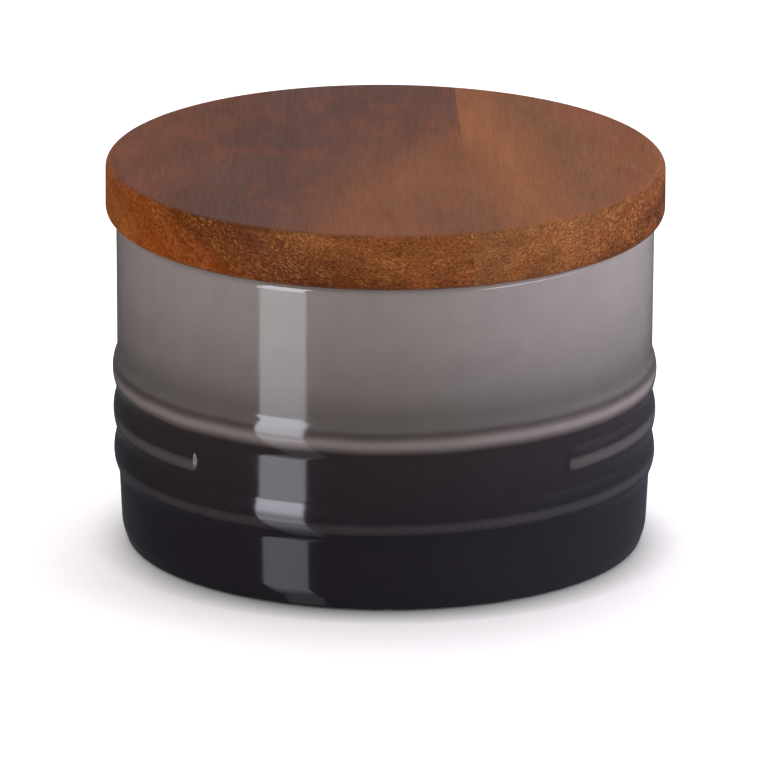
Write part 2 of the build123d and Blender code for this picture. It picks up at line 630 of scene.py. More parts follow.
    def _noise(self, tree: Tree, rings: Socket, size: Size) -> Socket:
        """Return noise with features this wide, long and deep in the log, in mm.

        Args:
            tree: The material's node tree.
            rings: The point's place in the log, in millimetres.
            size: How wide, long and deep the features are.

        Returns:
            The noise, from 0 to 1.
        """
        shares = tuple(1.0 / length for length in size)
        squeezed = add_node(tree, "VectorMath", {0: rings, 1: shares}, operation="MULTIPLY")
        return add_node(
            tree, "TexNoise", {"Vector": squeezed.outputs[0], "Scale": 1.0, "Detail": 2.0}
        ).outputs["Fac"]

    def _lighten(self, tree: Tree, tone: Socket, noise: Socket, change: float) -> Socket:
        """Make a tone darker and lighter by a noise, up to this share of itself.

        Args:
            tree: The material's node tree.
            tone: The colour so far.
            noise: The noise to follow.
            change: The most that the tone changes, as a share.

        Returns:
            The changed colour.
        """
        light = add_node(
            tree,
            "MapRange",
            {0: noise, 1: NOISE_LOW, 2: NOISE_HIGH, 3: 1.0 - change, 4: 1.0 + change},
        ).outputs[0]
        return add_node(tree, "VectorMath", {0: tone, "Scale": light}, operation="SCALE").outputs[0]

    def _zone(self, tree: Tree, rings: Socket, zones: tuple[Band, ...]) -> Socket:
        """Colour the wood by its distance from the pith, counted a little farther towards the back.

        Args:
            tree: The material's node tree.
            rings: The point's place in the log, in millimetres.
            zones: Distances from the pith, each with its colour.

        Returns:
            The wood's colour.
        """
        split = add_node(tree, "SeparateXYZ", {0: rings})
        out = add_node(
            tree,
            "Math",
            {0: split.outputs["Y"], 1: self.zone_tilt, 2: split.outputs["X"]},
            operation="MULTIPLY_ADD",
        ).outputs[0]
        low, high = zones[0][0], zones[-1][0]
        share = add_node(tree, "MapRange", {0: out, 1: low, 2: high, 3: 0.0, 4: 1.0}).outputs[0]
        stops = [((ring - low) / (high - low), colour) for ring, colour in zones]
        return add_node(tree, "ValToRGB", {0: share}, stops=stops).outputs["Color"]

    def _end_grain(self, tree: Tree, scaled: Socket) -> Socket:
        """Return how squarely the rim cuts the grain: one at the front, none on the top.

        Args:
            tree: The material's node tree.
            scaled: The point on the piece, in millimetres.

        Returns:
            A share from 0 to 1.
        """
        flat = add_node(
            tree, "VectorMath", {0: scaled, 1: (1.0, 1.0, 0.0)}, operation="MULTIPLY"
        ).outputs[0]
        radius = add_node(tree, "VectorMath", {0: flat}, operation="LENGTH").outputs["Value"]
        rim = add_node(
            tree,
            "MapRange",
            {0: radius, 1: self.rim_span[0], 2: self.rim_span[1], 3: 0.0, 4: 1.0},
            interpolation_type="SMOOTHSTEP",
        ).outputs[0]
        split = add_node(tree, "SeparateXYZ", {0: flat})
        along = add_node(tree, "Math", {0: split.outputs["Y"]}, operation="ABSOLUTE").outputs[0]
        square = add_node(
            tree, "MapRange", {0: along, 1: 0.0, 2: self.side_reach, 3: self.side_share, 4: 1.0}
        ).outputs[0]
        return add_node(tree, "Math", {0: rim, 1: square}, operation="MULTIPLY").outputs[0]

    def _blush(self, tree: Tree, rings: Socket, tone: Socket) -> Socket:
        """Warm the wood in soft blotches, some millimetres across.

        Args:
            tree: The material's node tree.
            rings: The point's place in the log, in millimetres.
            tone: The colour so far.

        Returns:
            The warmed colour.
        """
        blotches = self._noise(tree, rings, self.blush_size)
        share = add_node(
            tree,
            "MapRange",
            {
                0: blotches,
                1: self.blush_span[0],
                2: self.blush_span[1],
                3: 0.0,
                4: self.blush_amount,
            },
            interpolation_type="SMOOTHSTEP",
        ).outputs[0]
        return add_node(
            tree, "Mix", {0: share, 6: tone, 7: linear(self.blush_colour)}, data_type="RGBA"
        ).outputs[2]

    def _dashes(self, tree: Tree, tone: Socket, dashes: Socket, end_grain: Socket) -> Socket:
        """Draw the vessels that the top cuts lengthwise, as short dark dashes.

        Args:
            tree: The material's node tree.
            tone: The colour so far.
            dashes: The noise that the vessels are drawn from.
            end_grain: How squarely the rim cuts the grain.

        Returns:
            The colour with its dashes.
        """
        amount = add_node(tree, "MapRange", {0: end_grain, 3: self.dash_amount, 4: 0.0}).outputs[0]
        open_vessel = add_node(
            tree,
            "MapRange",
            {0: dashes, 1: self.dash_span[0], 2: self.dash_span[1]},
            interpolation_type="SMOOTHSTEP",
        ).outputs[0]
        share = add_node(tree, "Math", {0: open_vessel, 1: amount}, operation="MULTIPLY").outputs[0]
        return add_node(
            tree, "Mix", {0: share, 6: tone, 7: linear(self.pore_colour)}, data_type="RGBA"
        ).outputs[2]

    def _specks(
        self, tree: Tree, scaled: Socket, rings: Socket, tone: Socket, end_grain: Socket
    ) -> Socket:
        """Draw rows of dark and golden specks where the rim, or the top's swirl, cuts the vessels.

        Args:
            tree: The material's node tree.
            scaled: The point on the piece, in millimetres.
            rings: The point's place in the log, in millimetres.
            tone: The colour so far.
            end_grain: How squarely the rim cuts the grain.

        Returns:
            The colour with its specks.
        """
        across, along, reach = self.patch
        middle = (across, along, self.patch_height)
        away = add_node(
            tree, "VectorMath", {0: scaled, 1: middle}, operation="DISTANCE"
        ).outputs["Value"]
        swirl = add_node(
            tree,
            "MapRange",
            {0: away, 1: reach, 2: 0.0, 3: 0.0, 4: self.patch_share},
            interpolation_type="SMOOTHSTEP",
        ).outputs[0]
        cut = add_node(tree, "Math", {0: end_grain, 1: swirl}, operation="MAXIMUM").outputs[0]
        specks = self._noise(tree, rings, self.speck_size)
        crowds = self._noise(tree, rings, self.crowd_size)
        # Each colour, where in the noise it starts and is full, how strong it is there, and
        # how that changes in a thin row and in a dense one
        for colour, start, end, amount, sparse, dense in (
            (self.pore_colour, 0.5, 0.34, self.pore_amount, 1.5, 0.5),
            (self.fleck_colour, 0.48, 0.66, self.fleck_amount, 0.3, 1.6),
        ):
            share = add_node(
                tree,
                "MapRange",
                {0: specks, 1: start, 2: end, 3: 0.0, 4: amount},
                interpolation_type="SMOOTHSTEP",
            ).outputs[0]
            crowd = add_node(
                tree,
                "MapRange",
                {0: crowds, 1: self.crowd_span[0], 2: self.crowd_span[1], 3: sparse, 4: dense},
            ).outputs[0]
            crowded = add_node(tree, "Math", {0: share, 1: crowd}, operation="MULTIPLY").outputs[0]
            shown = add_node(
                tree, "Math", {0: crowded, 1: cut}, operation="MULTIPLY", use_clamp=True
            ).outputs[0]
            tone = add_node(
                tree, "Mix", {0: shown, 6: tone, 7: linear(colour)}, data_type="RGBA"
            ).outputs[2]
        return tone

    def _glue(self, tree: Tree, scaled: Socket, tone: Socket) -> Socket:
        """Darken the hair line where the two boards meet.

        Args:
            tree: The material's node tree.
            scaled: The point on the piece, in millimetres.
            tone: The colour so far.

        Returns:
            The colour with its glue line.
        """
        turn = math.radians(self.joint_turn)
        normal = (math.cos(turn), math.sin(turn), 0.0)
        reach = add_node(
            tree, "VectorMath", {0: scaled, 1: normal}, operation="DOT_PRODUCT"
        ).outputs["Value"]
        gap = add_node(
            tree,
            "Math",
            {0: reach, 1: self.joint_offset * normal[0], 2: self.glue_reach},
            operation="COMPARE",
        ).outputs[0]
        line = add_node(
            tree, "Math", {0: gap, 1: self.glue_amount}, operation="MULTIPLY"
        ).outputs[0]
        return add_node(
            tree, "Mix", {0: line, 6: tone, 7: linear(self.pore_colour)}, data_type="RGBA"
        ).outputs[2]

    def _surface(self, tree: Tree, fibres: Socket, dashes: Socket, shader: Node) -> None:
        """Give the oiled wood a low sheen over fine open grain.

        Args:
            tree: The material's node tree.
            fibres: The noise of the fibres.
            dashes: The noise that the vessels are drawn from.
            shader: The finish's principled shader.
        """
        shader.inputs["IOR"].default_value = self.refraction
        shader.inputs["Specular IOR Level"].default_value = self.sheen
        roughness = add_node(
            tree,
            "MapRange",
            {
                0: fibres,
                1: NOISE_LOW,
                2: NOISE_HIGH,
                3: self.roughness + self.roughness_change,
                4: self.roughness - self.roughness_change,
            },
        ).outputs[0]
        tree.links.new(roughness, shader.inputs["Roughness"])
        bump = add_node(
            tree,
            "Bump",
            {
                "Height": dashes,
                "Distance": metres(self.grain_depth),
                "Strength": self.grain_strength,
            },
        ).outputs[0]
        tree.links.new(bump, shader.inputs["Normal"])


@dataclass(frozen=True)
class MilkySilicone:
    """Platinum silicone, moulded in a fine-blasted tool.

    To the eye it is milky, a little see-through at its thin fins, and satin rather than
    glossy, with the faint dust that silicone always holds.
    """

    name: str = "silicone_moulded_milky"
    body_colour: str = "#d9d8d2"
    dust_colour: str = "#b9b7b0"
    dust_size: float = 1.6
    dust_span: Span = (0.55, 0.75)
    dust_amount: float = 0.7
    roughness: float = 0.42
    dust_roughness: float = 0.15
    # The grain of a blasted mould is about 0.05 mm, too fine to show. It is drawn at 0.3 mm
    blast_size: float = 0.3
    blast_depth: float = 0.008
    blast_strength: float = 0.7
    refraction: float = 1.41
    milkiness: float = 0.25
    # How far light spreads inside, and each colour's share of that
    glow_reach: float = 1.2
    glow_shares: Size = (1.0, 0.95, 0.85)

    def build(self) -> Material:
        """Build the silicone.

        Returns:
            The finished material.
        """
        material, shader = begin_material(self.name)
        tree = material.node_tree
        place = add_node(tree, "TexCoord").outputs["Object"]
        dust = add_node(
            tree, "TexNoise", {"Vector": place, "Scale": per_metre(self.dust_size), "Detail": 6.0}
        ).outputs["Fac"]
        dusty = add_node(
            tree,
            "MapRange",
            {0: dust, 1: self.dust_span[0], 2: self.dust_span[1], 3: 0.0, 4: self.dust_amount},
        ).outputs[0]
        colour = add_node(
            tree,
            "Mix",
            {0: dusty, 6: linear(self.body_colour), 7: linear(self.dust_colour)},
            data_type="RGBA",
        ).outputs[2]
        roughness = add_node(
            tree, "MapRange", {0: dusty, 3: self.roughness, 4: self.roughness + self.dust_roughness}
        ).outputs[0]
        blast = add_node(
            tree, "TexNoise", {"Vector": place, "Scale": per_metre(self.blast_size), "Detail": 2.0}
        ).outputs["Fac"]
        bump = add_node(
            tree,
            "Bump",
            {
                "Height": blast,
                "Distance": metres(self.blast_depth),
                "Strength": self.blast_strength,
            },
        ).outputs[0]
        tree.links.new(colour, shader.inputs["Base Color"])
        tree.links.new(roughness, shader.inputs["Roughness"])
        tree.links.new(bump, shader.inputs["Normal"])
        shader.inputs["IOR"].default_value = self.refraction
        shader.inputs["Subsurface Weight"].default_value = self.milkiness
        shader.inputs["Subsurface Radius"].default_value = self.glow_shares
        shader.inputs["Subsurface Scale"].default_value = metres(self.glow_reach)
        return material


def ease(share: float, turn: float) -> float:
    """Return an S-shaped rise from 0 to 1, level at both ends and steepest at its turn."""
    return share**2 / turn if share < turn else 1 - (1 - share) ** 2 / (1 - turn)


def swell(start: Point, end: Point, parts: int, turn: float) -> list[Point]:
    """Return an S-shaped flank, upright at both ends, as wet clay swells and dips.

    Args:
        start: Where the flank starts. It isn't returned.
        end: Where the flank ends.
        parts: How many points to return.
        turn: The share of the flank's height at which it leans the most.

    Returns:
        The points after the start.
    """
    points = []
    for part in range(1, parts + 1):
        share = part / parts
        across = start[0] + (end[0] - start[0]) * ease(share, turn)
        height = start[1] + (end[1] - start[1]) * share
        points.append((across, height))
    return points


@dataclass
class TurnedPiece:
    """A piece of revolution, drawn as a half section and spun about Z."""

    name: str
    body: str
    slot: str
    steps: int = 256
    # Edges stay sharp from this angle on, in degrees
    sharp_from: float = 50.0

    def draw_section(self, outline: Sequence[Point]) -> Piece:
        """Draw the half section by extruding one vertex from point to point.

        Args:
            outline: The section's points, in order.

        Returns:
            The new object, in edit mode.
        """
        bpy.ops.object.select_all(action="DESELECT")
        across, height = outline[0]
        bpy.ops.mesh.primitive_plane_add(
            size=metres(1.0), location=(metres(across), 0.0, metres(height))
        )
        piece = bpy.context.active_object
        piece.name = self.name
        piece.data.name = self.name
        bpy.ops.object.transform_apply(location=True, rotation=True, scale=True)
        bpy.ops.object.mode_set(mode="EDIT")
        bpy.ops.mesh.select_all(action="SELECT")
        bpy.ops.mesh.merge(type="CENTER")
        for here, there in zip(outline, outline[1:]):
            step = (metres(there[0] - here[0]), 0.0, metres(there[1] - here[1]))
            bpy.ops.mesh.extrude_region_move(TRANSFORM_OT_translate={"value": step})
        return piece

    def round_corner(self, piece: Piece, corner: Point, reach: float, segments: int) -> None:
        """Round one corner of the section.

        Args:
            piece: The object, in edit mode.
            corner: The corner's place in the section.
            reach: How far along each side the rounding starts.
            segments: How many edges the rounding has.
        """
        target = Vector((metres(corner[0]), 0.0, metres(corner[1])))
        bpy.ops.mesh.select_all(action="DESELECT")
        section = bmesh.from_edit_mesh(piece.data)
        nearest = min(section.verts, key=lambda vertex: (vertex.co - target).length)
        nearest.select = True
        section.select_flush_mode()
        bmesh.update_edit_mesh(piece.data)
        bpy.ops.mesh.bevel(offset=metres(reach), segments=segments, affect="VERTICES", profile=0.5)

    def spin(self) -> None:
        """Spin the drawn section all the way round, close its seam and poles, face it outwards."""
        bpy.ops.mesh.select_all(action="SELECT")
        bpy.ops.mesh.spin(
            steps=self.steps, angle=math.tau, center=(0.0, 0.0, 0.0), axis=(0.0, 0.0, 1.0)
        )
        self.close()

    def close(self) -> None:
        """Merge the points that meet and face everything outwards."""
        bpy.ops.mesh.select_all(action="SELECT")
        bpy.ops.mesh.remove_doubles(threshold=metres(MERGE_REACH))
        bpy.ops.mesh.normals_make_consistent(inside=False)

    def finish(self, piece: Piece, material: Material) -> None:
        """Smooth the piece, dress it and hang it from an empty named after its body.

        Args:
            piece: The object, in object mode.
            material: Its finish.
        """
        bpy.ops.object.select_all(action="DESELECT")
        piece.select_set(True)
        bpy.context.view_layer.objects.active = piece
        bpy.ops.object.shade_smooth_by_angle(angle=math.radians(self.sharp_from))
        weighted = piece.modifiers.new("flat_faces_stay_flat", "WEIGHTED_NORMAL")
        weighted.keep_sharp = True
        bpy.ops.object.modifier_apply(modifier=weighted.name)
        piece.data.materials.clear()
        piece.data.materials.append(material)
        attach(piece, self.body)


@dataclass
class StonewareJar(TurnedPiece):
    """The slip-cast jar: foot ring, wall with three ribs, rim, and plain inside."""

    name: str = "jar_vessel"
    body: str = "jar"
    slot: str = "stoneware"
    steps: int = 384
    height: float = 62.7
    rim_radius: float = 50.5
    rim_shoulder: float = 1.5
    upper_wall_inset: float = 0.17
    valley_inset: float = 0.13
    lower_wall_inset: float = 0.59
    foot_wall_inset: float = 1.1
    foot_contact_inset: float = 2.1
    foot_bevel_height: float = 3.0
    foot_bevel_ease: float = 0.9
    foot_edge: float = 0.6
    foot_ring_width: float = 5.2
    foot_recess: float = 1.5
    foot_recess_corner: float = 0.8
    top_rib_height: float = 33.0
    rib_pitch: float = 8.0
    rib_proud: float = 0.82
    rib_fade: float = 0.13
    # How many points each flank has, and where on its height it leans the most
    flank_parts: int = 14
    flank_turn: float = 0.22
    # The middle rib's ends, in degrees from the front, and how far its tips run on from there
    gap_left: float = 45.3
    gap_right: float = 44.6
    tip_length: float = 2.2
    # Where the glaze runs thin: this far past the ends, and this far under each crest, less at
    # the right than at the left
    thin_reach: float = 1.1
    middle_sag: float = 0.3
    low_sag: float = 0.7
    sag_slant: float = 0.01
    # Only points this near to the valleys' radius belong to the ribbed wall
    wall_reach: float = 1.0
    wall_thickness: float = 4.9
    mouth_depth: float = 13.0
    mouth_ease: float = 0.8
    inner_draft: float = 0.9
    inside_floor: float = 6.5
    floor_corner: float = 8.0

    @property
    def contact_radius(self) -> float:
        """Radius at which the outside meets the ground."""
        return self.rim_radius - self.foot_contact_inset

    @property
    def recess_radius(self) -> float:
        """Radius of the recess inside the foot ring."""
        return self.contact_radius - self.foot_ring_width

    @property
    def foot_wall_radius(self) -> float:
        """Radius of the wall just above the foot's bevel."""
        return self.rim_radius - self.foot_wall_inset

    @property
    def mouth_radius(self) -> float:
        """Radius of the mouth."""
        return self.rim_radius - self.wall_thickness

    @property
    def valley_radius(self) -> float:
        """Radius of the wall between the ribs."""
        return self.rim_radius - self.valley_inset

    @property
    def middle_rib_height(self) -> float:
        """Height of the middle rib's crest."""
        return self.top_rib_height - self.rib_pitch

    @property
    def low_rib_height(self) -> float:
        """Height of the low rib's crest."""
        return self.top_rib_height - 2 * self.rib_pitch

    def crest_radius(self, place: int) -> float:
        """Radius of a rib's crest, counted from the top rib down."""
        return self.valley_radius + self.rib_proud - self.rib_fade * place

    def flank_share(self, distance: float) -> float:
        """Return how proud the middle rib stands this far from its crest, from 1 down to 0."""
        away = min(1.0, abs(distance) / (self.rib_pitch / 2))
        return ease(1.0 - away, self.flank_turn)

    def thin_share(self, distance: float) -> float:
        """Return how thin the glaze runs this far from where it is thinnest, from 1 down to 0."""
        return max(0.0, 1.0 - 2.0 * (distance / (self.rib_pitch / 2)) ** 2)

    def outline(self) -> list[Point]:
        """Return the half section, with sharp corners and without the middle rib.

        Returns:
            The section's points, in order.
        """
        lower_wall = self.rim_radius - self.lower_wall_inset
        upper_wall = self.rim_radius - self.upper_wall_inset
        half = self.rib_pitch / 2
        low_rib, top_rib = self.low_rib_height, self.top_rib_height
        valley_low = (self.valley_radius, low_rib + half)
        valley_high = (self.valley_radius, top_rib - half)
        climb = valley_high[1] - valley_low[1]
        plain_parts = 2 * self.flank_parts
        points = [
            (0.0, self.foot_recess),
            (self.recess_radius, self.foot_recess),
            (self.recess_radius, 0.0),
            (self.contact_radius, 0.0),
            (self.foot_wall_radius, self.foot_bevel_height),
            (lower_wall, low_rib - half),
        ]
        rise, fall = self.flank_turn, 1.0 - self.flank_turn
        points += swell(points[-1], (self.crest_radius(2), low_rib), self.flank_parts, rise)
        points += swell(points[-1], valley_low, self.flank_parts, fall)
        points += [
            (self.valley_radius, valley_low[1] + climb * part / plain_parts)
            for part in range(1, plain_parts + 1)
        ]
        points += swell(points[-1], (self.crest_radius(0), top_rib), self.flank_parts, rise)
        points += swell(points[-1], (upper_wall, top_rib + half), self.flank_parts, fall)
        points += [
            (self.rim_radius, self.height),
            (self.mouth_radius, self.height),
            (self.mouth_radius, self.height - self.mouth_depth),
            (self.mouth_radius - self.inner_draft, self.inside_floor),
            (0.0, self.inside_floor),
        ]
        return points

    def build(self, material: Material) -> Piece:
        """Model the jar and dress it.

        Args:
            material: The glaze.

        Returns:
            The finished jar.
        """
        jar = self.draw_section(self.outline())
        # Each corner, how far its rounding reaches and how many edges that has
        for corner, reach, edges in (
            ((self.rim_radius, self.height), self.rim_shoulder, 10),
            ((self.mouth_radius, self.height), self.mouth_ease, 6),
            ((self.mouth_radius - self.inner_draft, self.inside_floor), self.floor_corner, 12),
            ((self.recess_radius, self.foot_recess), self.foot_recess_corner, 5),
            ((self.recess_radius, 0.0), self.foot_edge, 5),
            ((self.contact_radius, 0.0), self.foot_edge, 6),
            ((self.foot_wall_radius, self.foot_bevel_height), self.foot_bevel_ease, 6),
        ):
            self.round_corner(jar, corner, reach, edges)
        self.spin()
        bpy.ops.object.mode_set(mode="OBJECT")
        self._raise_middle_rib(jar)
        self._mark_crest(jar, "middle_rib", self._middle_thin_share)
        self._mark_crest(jar, "low_rib", self._low_thin_share)
        self.finish(jar, material)
        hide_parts("stoneware_jar")
        return jar

    def _on_ribbed_wall(self, place: Vector) -> bool:
        """Tell whether a vertex lies on the outside of the wall, near the valleys' radius."""
        from_axis = math.hypot(place.x, place.y) * MM_PER_METRE
        return abs(from_axis - self.valley_radius) <= self.wall_reach

    def _from_middle_crest(self, place: Vector, sag: float, reach: float) -> float:
        """Return a vertex's distance from the middle crest, or from a line beside that crest.

        Args:
            place: The vertex's place, in metres.
            sag: How far under the crest the line runs.
            reach: How far past the rib's ends the line is drawn out.

        Returns:
            The distance, in millimetres.
        """
        angle = math.degrees(math.atan2(place.x, -place.y))
        turn_past_end = min(angle + self.gap_left, self.gap_right - angle)
        past_end = math.radians(turn_past_end) * self.valley_radius
        beside = max(0.0, past_end - reach) * self.rib_pitch / 2 / self.tip_length
        return math.hypot(place.z * MM_PER_METRE + sag - self.middle_rib_height, beside)

    def _middle_rib_share(self, place: Vector) -> float:
        """Return how proud the middle rib stands at a vertex, rounded off at its two tips.

        Args:
            place: The vertex's place, in metres.

        Returns:
            A share from 0 to 1.
        """
        if not self._on_ribbed_wall(place):
            return 0.0
        return self.flank_share(self._from_middle_crest(place, 0.0, 0.0))

    def _middle_thin_share(self, place: Vector) -> float:
        """Return how thin the glaze runs at a vertex, along a line just under the middle crest.

        Args:
            place: The vertex's place, in metres.

        Returns:
            A share from 0 to 1.
        """
        if not self._on_ribbed_wall(place):
            return 0.0
        sag = self.middle_sag - self.sag_slant * place.x * MM_PER_METRE
        return self.thin_share(self._from_middle_crest(place, sag, self.thin_reach))

    def _low_thin_share(self, place: Vector) -> float:
        """Return how thin the glaze runs at a vertex, along a line just under the low crest.

        Args:
            place: The vertex's place, in metres.

        Returns:
            A share from 0 to 1.
        """
        if not self._on_ribbed_wall(place):
            return 0.0
        sag = self.low_sag - self.sag_slant * place.x * MM_PER_METRE
        return self.thin_share(place.z * MM_PER_METRE + sag - self.low_rib_height)

    def _raise_middle_rib(self, jar: Piece) -> None:
        """Push the middle rib out of the plain wall, round all but the front.

        Args:
            jar: The jar, in object mode.
        """
        group = jar.vertex_groups.new(name="raised")
        for vertex in jar.data.vertices:
            share = self._middle_rib_share(vertex.co)
            if share > 0.0:
                group.add([vertex.index], share, "REPLACE")
        raised = jar.modifiers.new("raised", "DISPLACE")
        raised.vertex_group = group.name
        raised.mid_level = 0.0
        raised.strength = metres(self.rib_proud - self.rib_fade)
        bpy.ops.object.modifier_apply(modifier=raised.name)
        jar.vertex_groups.remove(jar.vertex_groups["raised"])

    def _mark_crest(self, jar: Piece, name: str, share: Callable[[Vector], float]) -> None:
        """Store on the mesh how near each vertex is to a rib's crest, for the glaze to thin there.

        Args:
            jar: The jar, in object mode.
            name: The attribute's name.
            share: What gives a vertex its value.
        """
        mark = jar.data.attributes.new(name, "FLOAT", "POINT")
        for vertex in jar.data.vertices:
            mark.data[vertex.index].value = share(vertex.co)


@dataclass
class LidBoard(TurnedPiece):
    """One of the lid's two boards: the turned disc and plug, cut off at the glue joint."""

    name: str = "lid_board"
    body: str = "lid"
    slot: str = "lid_wood_wide"
    sharp_from: float = 40.0
    board: Board = Board.WIDE
    underside: float = 62.7
    radius: float = 52.5
    thickness: float = 10.7
    top_ease: float = 1.5
    under_ease: float = 2.0
    joint_offset: float = 14.7
    joint_turn: float = 1.9
    plug_radius: float = 44.1
    plug_depth: float = 9.4
    plug_edge: float = 0.8
    groove_drop: float = 1.9
    groove_height: float = 5.6
    groove_depth: float = 1.7

    @property
    def top(self) -> float:
        """Height of the lid's top."""
        return self.underside + self.thickness

    @property
    def plug_bottom(self) -> float:
        """Height of the plug's bottom."""
        return self.underside - self.plug_depth

    def outline(self) -> list[Point]:
        """Return the half section of disc, plug and seal groove, with sharp corners.

        Returns:
            The section's points, in order.
        """
        groove_top = self.underside - self.groove_drop
        groove_bottom = groove_top - self.groove_height
        return [
            (0.0, self.plug_bottom),
            (self.plug_radius, self.plug_bottom),
            (self.plug_radius, groove_bottom),
            (self.plug_radius - self.groove_depth, groove_bottom),
            (self.plug_radius - self.groove_depth, groove_top),
            (self.plug_radius, groove_top),
            (self.plug_radius, self.underside),
            (self.radius, self.underside),
            (self.radius, self.top),
            (0.0, self.top),
        ]

    def build(self, material: Material) -> Piece:
        """Model the board and dress it.

        Args:
            material: The board's wood.

        Returns:
            The finished board.
        """
        lid = self.draw_section(self.outline())
        # Each corner, how far its rounding reaches and how many edges that has
        for corner, reach, edges in (
            ((self.radius, self.top), self.top_ease, 8),
            ((self.radius, self.underside), self.under_ease, 8),
            ((self.plug_radius, self.plug_bottom), self.plug_edge, 4),
        ):
            self.round_corner(lid, corner, reach, edges)
        self.spin()
        self._cut_at_joint()
        bpy.ops.object.mode_set(mode="OBJECT")
        self.finish(lid, material)
        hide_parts(self.board.value)
        return lid

    def _cut_at_joint(self) -> None:
        """Cut the turned disc at the glue joint, keep this board's side and close the cut."""
        turn = math.radians(self.joint_turn)
        bpy.ops.mesh.select_all(action="SELECT")
        bpy.ops.mesh.bisect(
            plane_co=(metres(self.joint_offset), 0.0, 0.0),
            plane_no=(math.cos(turn), math.sin(turn), 0.0),
            use_fill=True,
            clear_inner=self.board is Board.NARROW,
            clear_outer=self.board is Board.WIDE,
        )
        self.close()


@dataclass
class SiliconeSeal(TurnedPiece):
    """The moulded ring in the plug's groove: a flat band with three fins that lean upwards."""

    name: str = "seal_ring"
    body: str = "seal"
    slot: str = "silicone"
    inner_radius: float = 42.45
    band_radius: float = 43.75
    lip_radius: float = 45.54
    bottom: float = 55.25
    top: float = 60.75
    fin_count: int = 3
    fin_root: float = 0.9
    fin_tip: float = 0.5
    fin_rise: float = 0.45
    tip_ease: float = 0.2
    tip_edges: int = 4

    def fin_heights(self) -> list[float]:
        """Return the height of each fin's root."""
        pitch = (self.top - self.bottom) / self.fin_count
        return [self.bottom + pitch * (place + 0.5) for place in range(self.fin_count)]

    def outline(self) -> list[Point]:
        """Return the closed half section of band and fins.

        Returns:
            The section's points, in order.
        """
        points = [(self.inner_radius, self.bottom), (self.band_radius, self.bottom)]
        for height in self.fin_heights():
            points += [
                (self.band_radius, height - self.fin_root / 2),
                (self.lip_radius, height + self.fin_rise - self.fin_tip / 2),
                (self.lip_radius, height + self.fin_rise + self.fin_tip / 2),
                (self.band_radius, height + self.fin_root / 2),
            ]
        points += [(self.band_radius, self.top), (self.inner_radius, self.top)]
        return points + [points[0]]

    def build(self, material: Material) -> Piece:
        """Model the seal and dress it.

        Args:
            material: The silicone.

        Returns:
            The finished seal.
        """
        seal = self.draw_section(self.outline())
        # The section ends where it starts, so its two end points are made one
        bpy.ops.mesh.select_all(action="SELECT")
        bpy.ops.mesh.remove_doubles(threshold=metres(MERGE_REACH))
        for height in self.fin_heights():
            for side in (-1, 1):
                tip = (self.lip_radius, height + self.fin_rise + side * self.fin_tip / 2)
                self.round_corner(seal, tip, self.tip_ease, self.tip_edges)
        self.spin()
        bpy.ops.object.mode_set(mode="OBJECT")
        self.finish(seal, material)
        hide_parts("silicone_seal")
        return seal


@dataclass(frozen=True)
class Lamp:
    """A flat soft lamp that hangs round the jar and faces it."""

    name: str
    azimuth: float
    elevation: float
    distance: float
    width: float
    height: float
    watts: float
    tint: str = "#ffffff"
    mirrored: bool = False
    lights_matt: bool = True
    aim_height: float = 0.035

    def hang(self) -> None:
        """Hang the lamp. Its azimuth is counted to the right from the jar's front."""
        light = bpy.data.lights.new(self.name, "AREA")
        light.shape = "RECTANGLE"
        light.size = self.width
        light.size_y = self.height
        light.energy = self.watts
        light.color = linear(self.tint)[:3]
        lamp = bpy.data.objects.new(self.name, light)
        bpy.context.scene.collection.objects.link(lamp)
        side, rise = math.radians(self.azimuth), math.radians(self.elevation)
        level = math.cos(rise)
        away = Vector((math.sin(side) * level, -math.cos(side) * level, math.sin(rise)))
        lamp.location = away * self.distance + Vector((0.0, 0.0, self.aim_height))
        lamp.rotation_euler = away.to_track_quat("Z", "Y").to_euler()
        lamp.visible_camera = False
        lamp.visible_glossy = self.mirrored
        lamp.visible_diffuse = self.lights_matt


